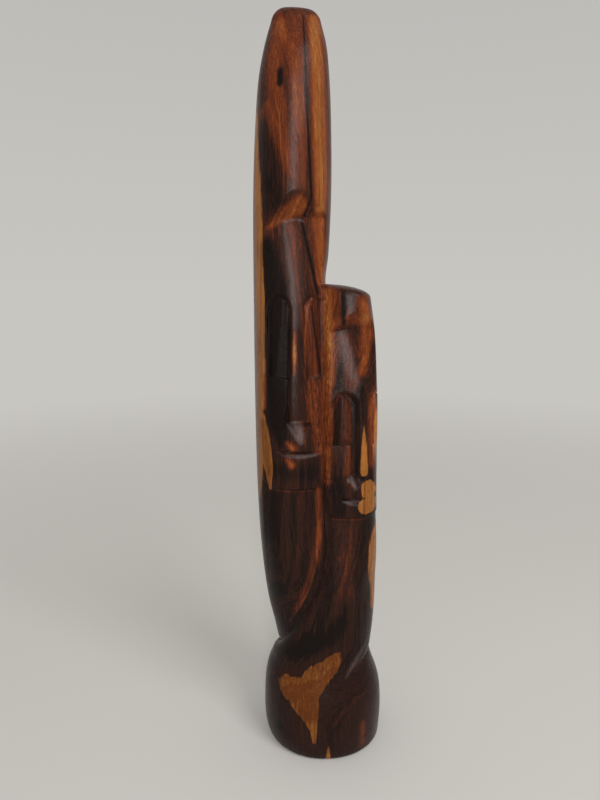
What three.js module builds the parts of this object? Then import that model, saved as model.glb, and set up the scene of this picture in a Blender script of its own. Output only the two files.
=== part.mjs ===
// Carved two-faced figurine: two long masks cut from one hardwood log.
// A tall figure stands on the left and a short one on the right. Below the chins their bodies
// turn round each other by half a turn and run into one round foot.
// Millimetres, +Z up, the faces look towards -Y, and the origin is the centre of the flat underside.
import * as THREE from "three";
import { mergeVertices } from "three/addons/utils/BufferGeometryUtils.js";

const { clamp, lerp, smoothstep, degToRad, euclideanModulo } = THREE.MathUtils;

// Driving heights, roundings and axes
const HEIGHT = 380;
const CROWN_ROUNDING = 8;
const SHOULDER_TOP = 251;
const SHOULDER_ROUNDING = 7;
const LOBES_FULL = 122;
const LOBES_START = 78;
const FOOT_EDGE = 1.5;
const FOOT_INSET = 0.8;
const TALL_AXIS = -17.6;
const SHORT_AXIS = 12.2;
const SHORT_LEFT_REACH = 19;
const TRUNK_TURN_DEG = 8;
const LOG_SQUARENESS = 2.1;

// Outlines seen from the front, as [height, distance from the middle] stations
const leftFlank = stationCurve([[0, -30.3], [4, -32], [11, -33.1], [22, -33.2], [32, -32.7], [40, -31.2],
  [47, -28.9], [53, -28.4], [60, -28.6], [66, -29.2], [80, -31.6], [95, -33.3], [134, -35.7],
  [170, -36.6], [240, -36.9], [297, -36.5], [332, -34.8], [350, -33], [364, -30], [373, -27.2]]);
const rightFlank = stationCurve([[0, 31.8], [5, 32.2], [14, 32.7], [22, 32.6], [30, 31.8], [35, 30.6],
  [39, 29.3], [44, 27.8], [50, 27.2], [58, 27.2], [67, 27.8], [85, 28.6], [103, 29], [121, 28.6],
  [155, 27.4], [180, 27], [204, 25.8], [228, 24.4], [244, 22.2]]);
const tallRight = stationCurve([[78, 5], [230, 5], [251, -0.6], [266, 0.9], [297, 2.3], [332, 1.9],
  [350, 1], [364, -0.5], [373, -2.8]]);

// Profiles seen from the side, as [height, reach from the axis] stations
const logFront = stationCurve([[0, 29.8], [5, 31], [14, 31.8], [25, 31.4], [35, 29.8], [45, 27],
  [52, 25], [60, 24], [95, 23.5]]);
const logBack = stationCurve([[0, 28.5], [14, 30], [25, 29.8], [35, 28.4], [52, 24], [70, 23.2],
  [95, 22.5]]);
const tallFront = stationCurve([[78, 22], [150, 23.5], [186, 25.4], [240, 24.4], [294, 22], [330, 19.5],
  [360, 13.6], [373, 7.2]]);
const tallBack = stationCurve([[78, 21], [150, 22.5], [250, 22.5], [300, 21], [340, 18.5], [360, 16],
  [373, 13]]);
const shortFront = stationCurve([[78, 22], [140, 22.6], [156, 24.2], [200, 23.4], [230, 21.4],
  [244, 19]]);
const shortBack = stationCurve([[78, 21], [200, 21.5], [244, 18.5]]);

// Squareness of the trunks' sections: 2 is an ellipse, more is squarer
const tallSquareness = stationCurve([[78, 2.3], [240, 2.3], [290, 2.05], [340, 2], [373, 2]]);
const shortSquareness = stationCurve([[78, 2.3], [200, 2.3], [244, 2.1]]);

// The groove between the two bodies: how far it has turned from the front, and how deep it is.
// The columns of the mesh follow it down to the waist and then turn no further.
const grooveTurn = stationCurve([[34, -162], [41, -154], [45, -142], [49.5, -112], [53, -88], [63, -58],
  [71, -44], [82, -29.5], [93, -17.5], [107, -10], [130, -5]]);
const columnTurn = stationCurve([[34, -84], [53, -76], [63, -58], [71, -44], [82, -29.5], [93, -17.5],
  [107, -10], [130, -5]]);
const grooveDepth = stationCurve([[28, 0], [36, 0.8], [42, 2.4], [48, 3.6], [53, 4], [63, 4.5],
  [95, 4]]);
const GROOVE_FLOOR_DEG = 1.2;
const TALL_GROOVE_SPREAD_DEG = 36;
const SHORT_GROOVE_SPREAD_DEG = 15;
const TALL_ARC_DEG = { front: -53, back: -310 };
const SHORT_ARC_DEG = { front: -128, back: 130 };

// The two masks: heights up the trunk, places across the face, and depths of the cuts
const TALL_FACE = {
  yawDeg: 8,
  brow: { crease: 282, run: 11.8, depth: 6.5, drop: 5,
    ridge: -4, leftSlope: 0.42, rightSlope: 0.1, rounding: 6 },
  eyes: { top: 244.2, ledge: 204.5, rise: 1.8, inner: 3.4, outer: 13.4, arch: 10, socketInner: 2.6,
    shallow: 1.6, deep: 3.6, proud: 0, crown: 1.1, ridgeTop: 0.25, ridgeLedge: 0.75 },
  nose: { topHalf: 3.1, tipHalf: 5.3, drift: 1, bottom: 183.2 },
  lips: { cheek: 1.7,
    fold: stationCurve([[164, 12.6], [169, 12], [182, 6.8], [189, 5.2], [204, 4.2]]),
    hollow: stationCurve([[160, 1.7], [166, 2], [176, 2.8], [184, 3.4], [205, 3.4]]) },
  mouth: { height: 167.6, middle: 0.8, half: 11.5, tilt: -0.07, depth: 2.1, upper: 0.7, lower: 2.8 },
  chin: { height: 147.6, tilt: -0.03, cornerRise: 2, depth: 1.6, run: 60 },
};
const SHORT_FACE = {
  yawDeg: 17,
  brow: { crease: 229.8, run: 8.5, depth: 5.4, drop: 2.4,
    ridge: -5, leftSlope: 0.3, rightSlope: 0.12, rounding: 2 },
  eyes: { top: 196.2, ledge: 170.8, rise: 0, inner: 6, outer: 14.2, arch: 7.5, socketInner: 2.2,
    shallow: 2, deep: 3.4, proud: 0.7, crown: 1.5, ridgeTop: 0.5, ridgeLedge: 0.5 },
  nose: { topHalf: 2.4, tipHalf: 2.4, drift: 0, bottom: 155 },
  lips: { cheek: 1.6,
    fold: stationCurve([[136, 7], [147, 7.6], [154, 6], [171, 5.6]]),
    hollow: stationCurve([[134, 1.6], [142, 1.8], [149, 2.6], [155, 3.4], [171, 3.4]]) },
  mouth: { height: 142.4, middle: -4.6, half: 5.4, tilt: -0.06, depth: 2.4, upper: 0.8, lower: 3 },
  chin: { height: 132, tilt: 0, cornerRise: 1.4, depth: 1.6, run: 40 },
};
const FACE_HALF_WIDTH = 15;
const CUTS_FULL_TO = 14.4;
const CUTS_END_AT = 17.4;
const NOSE_SLOPE = 0.36;
const NOSE_TIP_RUN = 3;
const SOCKET_MARGIN = 1.1;
const CHIN_CORNER_POWER = 5;
const CUT_EDGE = 0.6;

// Mesh fineness
const COLUMNS = 58;
const ROUNDING_ROWS = 4;
const WAIST = { bottom: 34, top: 66 };
const WAIST_GAP = 3.6;
const ROW_GAP = 6.6;
const LEAST_GAP = 0.35;
const BLANK_RADIUS = 1;
const BLANK_HEIGHT = 1;
const MERGE_DISTANCE = 1e-3;

/** A smooth curve through [height, size] stations, held level past both ends. */
function stationCurve(stations) {
  const heights = stations.map((station) => station[0]);
  const sizes = stations.map((station) => station[1]);
  const curve = new THREE.CubicInterpolant(heights, sizes, 1);
  return (z) => curve.evaluate(clamp(z, heights[0], heights.at(-1)))[0];
}

/** Share of the way from one value to another, held between 0 and 1. */
const share = (x, from, to) => clamp((x - from) / (to - from), 0, 1);

/** Rounding of an end: how far a wall has come in, as a share, at a share of the rounding's height. */
const quarterRound = (t) => 1 - Math.sqrt(1 - clamp(t, 0, 1) ** 2);

/** Distance from the axis to a rounded-square outline that has its own reach on each side. */
function outlineRadius(angle, reaches, squareness) {
  const across = Math.cos(angle);
  const along = Math.sin(angle);
  const width = across < 0 ? reaches.left : reaches.right;
  const depth = along < 0 ? reaches.front : reaches.back;
  const sum = Math.abs(across / width) ** squareness + Math.abs(along / depth) ** squareness;
  return sum ** (-1 / squareness);
}

/** A point of the twisted log, on the body that is `part` of the way from one groove to the other. */
function logPoint(z, onTall, part) {
  const start = columnTurn(z) - (onTall ? 90 : 270);
  const turn = start - lerp(GROOVE_FLOOR_DEG, 180 - GROOVE_FLOOR_DEG, part);
  const round = euclideanModulo(turn + 90 - grooveTurn(z), 360);
  const spread = round > 180 ? TALL_GROOVE_SPREAD_DEG : SHORT_GROOVE_SPREAD_DEG;
  const past = round % 180;
  const depth = grooveDepth(z) * Math.exp(-Math.min(past, 180 - past) / spread);
  const edge = FOOT_INSET * quarterRound(share(z, FOOT_EDGE, 0));
  const angle = degToRad(turn);
  const reaches = { left: -leftFlank(z), right: rightFlank(z), front: logFront(z), back: logBack(z) };
  const reach = outlineRadius(angle, reaches, LOG_SQUARENESS) - depth - edge;
  return new THREE.Vector2(reach * Math.cos(angle), reach * Math.sin(angle));
}

/** The tall trunk's axis, reaches and squareness at a height, with the crown's rounding. */
function tallTrunk(z) {
  const rounding = CROWN_ROUNDING * quarterRound(share(z, HEIGHT - CROWN_ROUNDING, HEIGHT));
  const left = leftFlank(z);
  const right = tallRight(z);
  const axis = lerp(TALL_AXIS, (left + right) / 2, smoothstep(z, SHOULDER_TOP, HEIGHT));
  const reaches = {
    left: axis - left - rounding,
    right: right - axis - rounding,
    front: tallFront(z) - rounding,
    back: tallBack(z) - rounding,
  };
  return { axis, reaches, squareness: tallSquareness(z) };
}

/** The short trunk's axis, reaches and squareness at a height. */
function shortTrunk(z) {
  const reaches = {
    left: SHORT_LEFT_REACH,
    right: rightFlank(z) - SHORT_AXIS,
    front: shortFront(z),
    back: shortBack(z),
  };
  return { axis: SHORT_AXIS, reaches, squareness: shortSquareness(z) };
}

/** How far forward the notch under the brow and the bridge below it lie; nothing is cut above them. */
function browReach({ brow, eyes, nose }, u, z, front) {
  const level = z + brow.drop * (Math.max(0, -u) / FACE_HALF_WIDTH) ** 2;
  if (level > brow.crease + brow.run) return Infinity;
  const onFacet = level > brow.crease;
  const notch = onFacet
    ? share(level, brow.crease + brow.run, brow.crease)
    : share(level, nose.bottom + NOSE_TIP_RUN, brow.crease);
  const ridge = brow.ridge * smoothstep(z, eyes.top, brow.crease);
  const bridge = u < ridge ? brow.leftSlope : brow.rightSlope;
  const slope = onFacet ? bridge * notch : lerp(bridge, NOSE_SLOPE, share(level, brow.crease, eyes.top));
  const fall = Math.hypot(u - ridge, brow.rounding) - brow.rounding;
  return front - brow.depth * notch - slope * fall;
}

/** Share that lies inside an arched opening of an eye. */
function inOpening(eyes, side, z, inner, outer, top) {
  const half = CUT_EDGE / 2;
  const middle = (inner + outer) / 2;
  const arch = top - eyes.arch * quarterRound(Math.abs(side - middle) / (outer - middle));
  return share(side, inner - half, inner + half) * share(side, outer + half, outer - half)
    * share(z, arch + half, arch - half);
}

/** Depth of the long sockets, less the ridged eyes that stand in them. */
function eyeDepth(eyes, side, z) {
  const down = share(z, eyes.top, eyes.ledge);
  const socketOuter = eyes.outer + SOCKET_MARGIN / 2;
  const socket = inOpening(eyes, side, z, eyes.socketInner, socketOuter, eyes.top + SOCKET_MARGIN);
  const eye = inOpening(eyes, side, z, eyes.inner, eyes.outer, eyes.top);
  const panel = share(side, eyes.inner, eyes.outer);
  const ridge = lerp(eyes.ridgeTop, eyes.ridgeLedge, down);
  const facet = 1 - (panel < ridge ? (ridge - panel) / ridge : (panel - ridge) / (1 - ridge));
  const raised = (eyes.proud + eyes.crown * facet) * eye;
  return Math.max(0, lerp(eyes.shallow, eyes.deep, down) - raised) * socket;
}

/** Depth of the cheeks, and of the hollow inside their folds. */
function lipDepth(lips, side, z) {
  const fold = lips.fold(z);
  return lerp(lips.hollow(z), lips.cheek, share(side, fold - CUT_EDGE / 2, fold + CUT_EDGE / 2));
}

/** Share that lies on the nose and the bridge above it. */
function onNose({ nose, eyes }, u, z) {
  const down = share(z, eyes.top, nose.bottom);
  const half = lerp(nose.topHalf, nose.tipHalf, down);
  const rim = CUT_EDGE / 2;
  return share(Math.abs(u - nose.drift * down), half + rim, half - rim)
    * share(z, nose.bottom - rim, nose.bottom + rim);
}

/** Depth of the mouth: a slit with a short upper wall and a lens-shaped facet under it. */
function mouthCut(mouth, u, z) {
  const along = (u - mouth.middle) / mouth.half;
  if (Math.abs(along) >= 1) return 0;
  const lens = Math.sqrt(1 - along ** 2);
  const line = mouth.height + mouth.tilt * (u - mouth.middle);
  const lip = z > line ? line + mouth.upper * lens : line - mouth.lower * lens;
  return mouth.depth * lens * share(z, lip, line);
}

/** How far forward of the trunk's axis a mask's surface lies, at a place across it and a height. */
function maskFront(face, u, z, own, front) {
  const { eyes, lips, mouth, chin } = face;
  const side = Math.abs(u);
  const ledge = eyes.ledge + eyes.rise * share(side, eyes.inner, eyes.outer);
  const belowEyes = share(z, ledge + CUT_EDGE, ledge);
  const relief = lerp(eyeDepth(eyes, side, z), lipDepth(lips, side, z), belowEyes);
  const corner = chin.cornerRise * (side / FACE_HALF_WIDTH) ** CHIN_CORNER_POWER;
  const chinLine = chin.height + chin.tilt * u + corner;
  const step = chin.depth * share(z, chinLine + CUT_EDGE, chinLine);
  const cut = relief * (1 - onNose(face, u, z)) + mouthCut(mouth, u, z) + step;
  const neck = share(z, chinLine - chin.run, chinLine);
  const onFace = 1 - smoothstep(side, CUTS_FULL_TO, CUTS_END_AT);
  return Math.min(own, browReach(face, u, z, front)) - cut * neck * onFace;
}

/** A point of a trunk's outline, carved with a mask. */
function trunkPoint(trunk, angle, face, z) {
  const radius = outlineRadius(angle - degToRad(TRUNK_TURN_DEG), trunk.reaches, trunk.squareness);
  const point = new THREE.Vector2(radius * Math.cos(angle), radius * Math.sin(angle));
  const yaw = degToRad(face.yawDeg);
  const across = new THREE.Vector2(Math.cos(yaw), Math.sin(yaw));
  const forward = new THREE.Vector2(Math.sin(yaw), -Math.cos(yaw));
  const own = point.dot(forward);
  if (own > 0) {
    const front = maskFront(face, point.dot(across), z, own, trunk.reaches.front);
    point.addScaledVector(forward, Math.min(0, front - own));
  }
  return point.add(new THREE.Vector2(trunk.axis, 0));
}

/** Spreads columns so that they lie closer together at the front groove, where `part` is 0. */
const frontDense = (part) => (part + part * part) / 2;

/** A point of the finished carving for one column and height. */
function carvedPoint(column, z) {
  const perBody = COLUMNS / 2;
  const onTall = column < perBody;
  const step = column % perBody;
  const linear = step / (perBody - 1);
  const part = onTall ? frontDense(linear) : 1 - frontDense(1 - linear);

  const arc = TALL_ARC_DEG;
  let point;
  if (onTall) {
    point = trunkPoint(tallTrunk(z), degToRad(lerp(arc.front, arc.back, part)), TALL_FACE, z);
  } else {
    const above = Math.max(z, SHOULDER_TOP);
    const flank = lerp(arc.back, arc.front - 360, (step + 1) / (perBody + 1));
    point = trunkPoint(tallTrunk(above), degToRad(flank), TALL_FACE, above);
    if (z < SHOULDER_TOP) {
      const angle = degToRad(lerp(SHORT_ARC_DEG.back, SHORT_ARC_DEG.front, part));
      const body = trunkPoint(shortTrunk(z), angle, SHORT_FACE, z);
      const gone = quarterRound(share(z, SHOULDER_TOP - SHOULDER_ROUNDING, SHOULDER_TOP));
      point = body.lerp(point, gone);
    }
  }
  const asTrunks = smoothstep(z, LOBES_START, LOBES_FULL);
  return asTrunks < 1 ? logPoint(z, onTall, part).lerp(point, asTrunks) : point;
}

/** Heights of the rows: each crisp cut has its own, and the gaps between them are filled evenly. */
function rowHeights() {
  const marks = [0, FOOT_EDGE, WAIST.bottom, WAIST.top];
  for (const { brow, eyes, nose, mouth, chin } of [TALL_FACE, SHORT_FACE]) {
    marks.push(brow.crease, brow.crease + brow.run);
    marks.push(eyes.top, eyes.ledge, eyes.ledge + eyes.rise + CUT_EDGE);
    marks.push(nose.bottom - CUT_EDGE / 2, nose.bottom + CUT_EDGE / 2);
    marks.push(chin.height, chin.height + CUT_EDGE);
    marks.push(mouth.height + mouth.upper, mouth.height, mouth.height - mouth.lower);
  }
  for (let i = 0; i <= ROUNDING_ROWS; i++) {
    const left = 1 - Math.sin((i / ROUNDING_ROWS) * (Math.PI / 2));
    marks.push(SHOULDER_TOP - SHOULDER_ROUNDING * left, HEIGHT - CROWN_ROUNDING * left);
  }
  marks.sort((first, second) => first - second);
  const heights = [0];
  for (const mark of marks) {
    const bottom = heights.at(-1);
    if (mark - bottom < LEAST_GAP) continue;
    const gap = bottom >= WAIST.bottom && mark <= WAIST.top ? WAIST_GAP : ROW_GAP;
    const count = Math.ceil((mark - bottom) / gap);
    for (let i = 1; i <= count; i++) heights.push(lerp(bottom, mark, i / count));
  }
  return heights;
}

/** The whole figure: a cylinder blank whose rows and columns are moved to the carved surface. */
function figureGeometry() {
  const heights = rowHeights();
  const rows = heights.length - 1;
  const blank = new THREE.CylinderGeometry(BLANK_RADIUS, BLANK_RADIUS, BLANK_HEIGHT, COLUMNS, rows);
  blank.rotateX(Math.PI / 2);
  const position = blank.getAttribute("position");
  const vertex = new THREE.Vector3();
  for (let i = 0; i < position.count; i++) {
    vertex.fromBufferAttribute(position, i);
    const z = heights[Math.round((vertex.z / BLANK_HEIGHT + 0.5) * rows)];
    const onAxis = Math.hypot(vertex.x, vertex.y) < BLANK_RADIUS / 2;
    if (onAxis) {
      position.setXYZ(i, z > 0 ? tallTrunk(z).axis : 0, 0, z);
      continue;
    }
    const turn = Math.atan2(-vertex.x, -vertex.y) / (2 * Math.PI);
    const column = euclideanModulo(Math.round(turn * COLUMNS), COLUMNS);
    const point = carvedPoint(column, z);
    position.setXYZ(i, point.x, point.y, z);
  }
  blank.deleteAttribute("normal");
  blank.deleteAttribute("uv");
  const figure = mergeVertices(blank, MERGE_DISTANCE);
  figure.computeVertexNormals();
  return figure;
}

const hardwood = new THREE.MeshStandardMaterial({ color: 0x4a2a1a, roughness: 0.38, metalness: 0 });
const figurine = new THREE.Group();
const carving = new THREE.Mesh(figureGeometry(), hardwood);
carving.name = "carved_figure";
figurine.add(carving);

export default figurine;
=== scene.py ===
"""Carved two-faced figurine: the fine carving, its polished two-tone wood, and a plain studio.

Lengths in the classes are millimetres, in the frame's own axes: X to the right, -Y towards the
viewer, Z up from the flat underside. Meshes are scaled to metres when they are written.
"""

import logging
import math
from dataclasses import dataclass
from enum import Enum
from typing import Any

import bmesh
import bpy
import numpy as np
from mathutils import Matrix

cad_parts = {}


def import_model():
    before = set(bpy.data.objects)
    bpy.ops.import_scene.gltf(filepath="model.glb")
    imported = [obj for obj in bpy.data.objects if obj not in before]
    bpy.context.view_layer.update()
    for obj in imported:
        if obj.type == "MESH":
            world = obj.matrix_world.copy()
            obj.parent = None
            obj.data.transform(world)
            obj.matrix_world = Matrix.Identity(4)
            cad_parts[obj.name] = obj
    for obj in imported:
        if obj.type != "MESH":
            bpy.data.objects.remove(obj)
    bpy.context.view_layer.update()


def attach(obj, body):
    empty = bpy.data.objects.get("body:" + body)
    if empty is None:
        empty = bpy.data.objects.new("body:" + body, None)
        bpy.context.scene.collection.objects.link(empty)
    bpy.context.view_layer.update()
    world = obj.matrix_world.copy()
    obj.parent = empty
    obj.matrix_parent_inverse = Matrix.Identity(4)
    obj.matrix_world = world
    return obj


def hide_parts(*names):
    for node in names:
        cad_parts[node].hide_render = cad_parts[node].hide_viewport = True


LOG = logging.getLogger("figurine")
MM = 0.001
FAR = 1000.0
TINY = 1e-6
NOISE_MIDDLE = 0.5
MIX_FACTOR, MIX_FIRST, MIX_SECOND, MIX_RESULT = 0, 6, 7, 2
NODE = "carved_figure"
BODY = "root"

Array = np.ndarray
Reaches = tuple[Array, Array, Array, Array]
Colour = tuple[float, float, float, float]
Pair = tuple[float, float]
Triple = tuple[float, float, float]
Weights = tuple[float, ...]
Settings = dict[str, Any]
Inputs = dict[Any, Any]


def share(value: Array, start: Any, stop: Any) -> Array:
    """Share of the way from start to stop, held between 0 and 1."""
    return np.clip((value - start) / (stop - start), 0.0, 1.0)


def ease(value: Array, start: Any, stop: Any) -> Array:
    """Share of the way from start to stop, with soft ends."""
    part = share(value, start, stop)
    return part * part * (3.0 - 2.0 * part)


def blend(first: Any, second: Any, part: Any) -> Array:
    """Value that is part of the way from first to second."""
    return first + (second - first) * part


def quarter_round(part: Array) -> Array:
    """How far a wall has come in, as a share, at a share of its rounding's height."""
    return 1.0 - np.sqrt(1.0 - np.clip(part, 0.0, 1.0) ** 2)


@dataclass(frozen=True)
class Profile:
    """A smooth curve through stations of height and distance."""

    stations: tuple[Pair, ...]

    def at(self, height: Array) -> Array:
        """Read the curve.

        Args:
            height: Heights to read it at.

        Returns:
            The distance at each height, held level past both ends.
        """
        knots, values = np.array(self.stations, dtype=float).T
        slopes = np.diff(values) / np.diff(knots)
        tangents = np.concatenate([slopes[:1], (slopes[1:] + slopes[:-1]) / 2, slopes[-1:]])
        height = np.clip(height, knots[0], knots[-1])
        index = np.clip(np.searchsorted(knots, height, side="right") - 1, 0, len(slopes) - 1)
        step = np.diff(knots)[index]
        part = (height - knots[index]) / step
        start = values[index] * (1 + 2 * part) * (1 - part) ** 2
        stop = values[index + 1] * part ** 2 * (3 - 2 * part)
        leave = tangents[index] * step * part * (1 - part) ** 2
        arrive = tangents[index + 1] * step * part ** 2 * (part - 1)
        return start + stop + leave + arrive


@dataclass(frozen=True)
class Brow:
    """The notch under a forehead, and the bridge that slopes out of it down to the nose."""

    crease: float
    run: float
    depth: float
    drop: float
    ridge_shift: float
    slopes: Pair
    nose_slope: float = 0.36
    half_width: float = 15.0
    rounding: float = 2.0

    def reach(self, across: Array, height: Array, front: Array, eye_top: float, tip: float) -> Array:
        """How far forward the notch's facet and the bridge lie.

        Args:
            across: Place across the face, to the viewer's right.
            height: Height above the underside.
            front: The uncut trunk's greatest reach at each height.
            eye_top: Height where the bridge has narrowed to the nose.
            tip: Height where the nose is as far forward as the uncut trunk.

        Returns:
            The reach, or far out where nothing is cut.
        """
        left = np.maximum(0, -across) / self.half_width
        level = height + self.drop * left ** 2
        on_facet = level > self.crease
        above = share(level, self.crease + self.run, self.crease)
        below = share(level, tip, self.crease)
        notch = np.where(on_facet, above, below)
        ridge = self.ridge_shift * ease(height, eye_top, self.crease)
        bridge = np.where(across < ridge, *self.slopes)
        slope = blend(bridge, self.nose_slope, share(level, self.crease, eye_top))
        slope = np.where(on_facet, bridge * notch, slope)
        fall = np.hypot(across - ridge, self.rounding) - self.rounding
        cut = front - self.depth * notch - slope * fall
        return np.where(level < self.crease + self.run, cut, FAR)


@dataclass(frozen=True)
class Eyes:
    """Sunk sockets beside the nose, each with a ridged eye that ends on a ledge."""

    top: float
    ledge: float
    ledge_rise: float
    inner: float
    outer: float
    arch: float
    socket_inner: float
    socket: Pair
    proud: float
    crown: float
    ridge: Pair
    edge: float = 0.6
    socket_margin: float = 1.1

    def ledge_line(self, side: Array) -> Array:
        """Height of the ledge, which may rise towards the outside."""
        return self.ledge + self.ledge_rise * share(side, self.inner, self.outer)

    def opening(self, side: Array, height: Array, inner: float, outer: float, top: float) -> Array:
        """Share that lies inside an arched opening.

        Args:
            side: Distance from the middle of the face.
            height: Height above the underside.
            inner: The opening's side by the nose.
            outer: Its other side.
            top: Height of its arch.

        Returns:
            1 inside, 0 outside, with a narrow slope between.
        """
        half = self.edge / 2
        middle = (inner + outer) / 2
        arch = top - self.arch * quarter_round(np.abs(side - middle) / (outer - middle))
        across = share(side, inner - half, inner + half) * share(side, outer + half, outer - half)
        return across * share(height, arch + half, arch - half)

    def depth(self, side: Array, height: Array) -> Array:
        """Depth of the sockets around and behind the eyes.

        Args:
            side: Distance from the middle of the face.
            height: Height above the underside.

        Returns:
            How far back each point is cut.
        """
        down = share(height, self.top, self.ledge)
        outer = self.outer + self.socket_margin / 2
        top = self.top + self.socket_margin
        socket = self.opening(side, height, self.socket_inner, outer, top)
        eye = self.opening(side, height, self.inner, self.outer, self.top)
        panel = share(side, self.inner, self.outer)
        ridge = blend(*self.ridge, down)
        facet = 1 - np.where(panel < ridge, (ridge - panel) / ridge, (panel - ridge) / (1 - ridge))
        raised = (self.proud + self.crown * facet) * eye
        return np.maximum(0, blend(*self.socket, down) - raised) * socket


@dataclass(frozen=True)
class Lips:
    """Cheeks, the hollow between them, and the scoop cut under the nose."""

    cheek: float
    fold: Profile
    hollow: Profile
    scoop_middle: float
    scoop_half: float
    scoop_run: float
    scoop_lean: float
    scoop_depth: float
    scoop_turn: float
    scoop_floor: float = 0.6
    edge: float = 0.7

    def depth(self, side: Array, height: Array) -> Array:
        """Depth of the cheeks, and of the hollow inside their folds.

        Args:
            side: Distance from the middle of the face.
            height: Height above the underside.

        Returns:
            How far back each point is cut.
        """
        fold = self.fold.at(height)
        on_cheek = share(side, fold - self.edge / 2, fold + self.edge / 2)
        return blend(self.hollow.at(height), self.cheek, on_cheek)

    def scoop(self, across: Array, height: Array, nose_bottom: float) -> Array:
        """Depth of the pointed scoop, deepest at the nose.

        Args:
            across: Place across the face, to the viewer's right.
            height: Height above the underside.
            nose_bottom: Height of the nose's lower end.

        Returns:
            How far back each point is cut.
        """
        down = share(height, nose_bottom, nose_bottom - self.scoop_run)
        middle = self.scoop_middle + self.scoop_lean * down
        wide = self.scoop_half * (1 - down)
        inside = share(np.abs(across - middle), wide + self.edge / 2, wide * self.scoop_floor)
        depth = self.scoop_depth * (1 - down) + self.scoop_turn * (middle - across)
        return np.maximum(0, depth) * inside * (height <= nose_bottom)


@dataclass(frozen=True)
class Mouth:
    """A slit with a short upper wall and a lens-shaped facet under it."""

    height: float
    middle: float
    half: float
    tilt: float
    depth: float
    gape: Pair

    def cut(self, across: Array, height: Array) -> Array:
        """Depth of the slit and its facet.

        Args:
            across: Place across the face, to the viewer's right.
            height: Height above the underside.

        Returns:
            How far back each point is cut.
        """
        along = (across - self.middle) / self.half
        lens = np.sqrt(np.maximum(TINY, 1 - along ** 2))
        line = self.height + self.tilt * (across - self.middle)
        upper, lower = self.gape
        lip = np.where(height > line, line + upper * lens, line - lower * lens)
        return self.depth * lens * share(height, lip, line)


@dataclass(frozen=True)
class Chin:
    """The line where a face ends and the plain body starts a little further back."""

    height: float
    tilt: float
    corner_rise: float
    depth: float
    run: float
    half_width: float = 15.0
    corner_power: int = 5
    edge: float = 0.6

    def line(self, across: Array) -> Array:
        """Height of the line, turned up at its ends."""
        corner = np.abs(across / self.half_width) ** self.corner_power
        return self.height + self.tilt * across + self.corner_rise * corner


@dataclass(frozen=True)
class Mask:
    """One carved face."""

    yaw_deg: float
    brow: Brow
    eyes: Eyes
    lips: Lips
    mouth: Mouth
    chin: Chin
    nose_half: Pair
    nose_drift: float
    nose_bottom: float
    edge: float = 0.6
    tip_run: float = 3.0
    plain_from: Pair = (14.4, 17.4)

    def on_nose(self, across: Array, height: Array) -> Array:
        """Share that lies on the nose and the bridge above it.

        Args:
            across: Place across the face, to the viewer's right.
            height: Height above the underside.

        Returns:
            1 on the nose, 0 beside and below it, with a narrow slope between.
        """
        down = share(height, self.eyes.top, self.nose_bottom)
        half = blend(*self.nose_half, down)
        from_nose = np.abs(across - self.nose_drift * down)
        rim = self.edge / 2
        beside = share(from_nose, half + rim, half - rim)
        return beside * share(height, self.nose_bottom - rim, self.nose_bottom + rim)

    def front(self, across: Array, height: Array, own: Array, front: Array) -> Array:
        """How far forward of the trunk's axis the carved surface lies.

        Args:
            across: Place across the face, to the viewer's right.
            height: Height above the underside.
            own: The uncut surface's own reach at each point.
            front: The uncut trunk's greatest reach at each height.

        Returns:
            The reach of the cut surface.
        """
        side = np.abs(across)
        roof = self.brow.reach(across, height, front, self.eyes.top, self.nose_bottom + self.tip_run)
        ledge = self.eyes.ledge_line(side)
        below_eyes = share(height, ledge + self.edge, ledge)
        cut = blend(self.eyes.depth(side, height), self.lips.depth(side, height), below_eyes)
        cut = cut * (1 - self.on_nose(across, height))
        cut = cut + self.lips.scoop(across, height, self.nose_bottom) + self.mouth.cut(across, height)
        line = self.chin.line(across)
        cut = cut + self.chin.depth * share(height, line + self.chin.edge, line)
        cut = cut * share(height, line - self.chin.run, line)
        return np.minimum(own, roof) - cut * ease(side, *self.plain_from[::-1])


def outline_radius(angle: Array, reaches: Reaches, squareness: Array) -> Array:
    """Distance from an axis to a rounded-square outline with its own reach on each side.

    Args:
        angle: Directions, in radians from +X.
        reaches: Reach towards -X, +X, -Y and +Y.
        squareness: 2 for an ellipse, more for squarer corners.

    Returns:
        The distance in each direction.
    """
    left, right, front, back = reaches
    across = np.cos(angle)
    along = np.sin(angle)
    width = np.where(across < 0, left, right)
    depth = np.where(along < 0, front, back)
    total = np.abs(across / width) ** squareness + np.abs(along / depth) ** squareness
    return total ** (-1.0 / squareness)


@dataclass(frozen=True)
class Trunk:
    """An upright trunk's outline at given heights."""

    axis: Array
    reaches: Reaches
    squareness: Array
    turn_deg: float

    def carved(self, angle: Array, height: Array, mask: Mask) -> tuple[Array, Array]:
        """Points of the outline after a mask is cut into its front.

        Args:
            angle: Directions from the trunk's axis, in radians.
            height: Heights of the points.
            mask: The face to cut.

        Returns:
            The points' X and Y.
        """
        turned = angle - math.radians(self.turn_deg)
        radius = outline_radius(turned, self.reaches, self.squareness)
        x = radius * np.cos(angle)
        y = radius * np.sin(angle)
        yaw = math.radians(mask.yaw_deg)
        across = x * math.cos(yaw) + y * math.sin(yaw)
        reach = x * math.sin(yaw) - y * math.cos(yaw)
        front = mask.front(across, height, reach, self.reaches[2])
        move = np.where(reach > 0, np.minimum(0, front - reach), 0)
        return x + move * math.sin(yaw) + self.axis, y - move * math.cos(yaw)


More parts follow.
